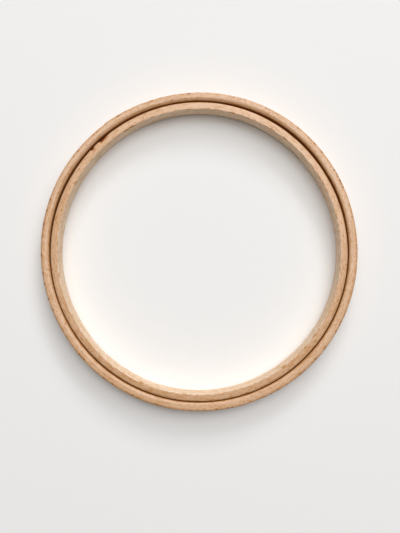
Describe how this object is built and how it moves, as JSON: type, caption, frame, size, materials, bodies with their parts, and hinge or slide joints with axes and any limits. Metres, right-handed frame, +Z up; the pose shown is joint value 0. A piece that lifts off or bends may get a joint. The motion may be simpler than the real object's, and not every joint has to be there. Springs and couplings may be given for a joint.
{
  "type": "embroidery hoop",
  "caption": "Screwless wooden embroidery hoop: a plain bent-wood ring nested inside a thicker one, with rounded edges and a narrow gap for cloth.",
  "frame": {"origin": "centre of the hoop, on the surface it lies on", "axes": "+Z up along the hoop's axis, the way the inner ring lifts out; +Y towards the top of the picture; +X to its right"},
  "size_m": [0.19, 0.19, 0.016],
  "materials": {
    "outer_beech": "bare beech, finely sanded, grain along the ring, small brown ray flecks",
    "inner_beech": "bare beech, finely sanded, grain along the ring, small brown ray flecks"
  },
  "bodies": {
    "outer_ring": {"outer_ring": "outer_beech"},
    "inner_ring": {"inner_ring": "inner_beech"}
  },
  "joints": [
    {"name": "inner_ring_lift", "type": "slide", "parent": "outer_ring", "child": "inner_ring", "axis": [0, 0, 1], "range_m": [0, 0.024]}
  ]
}
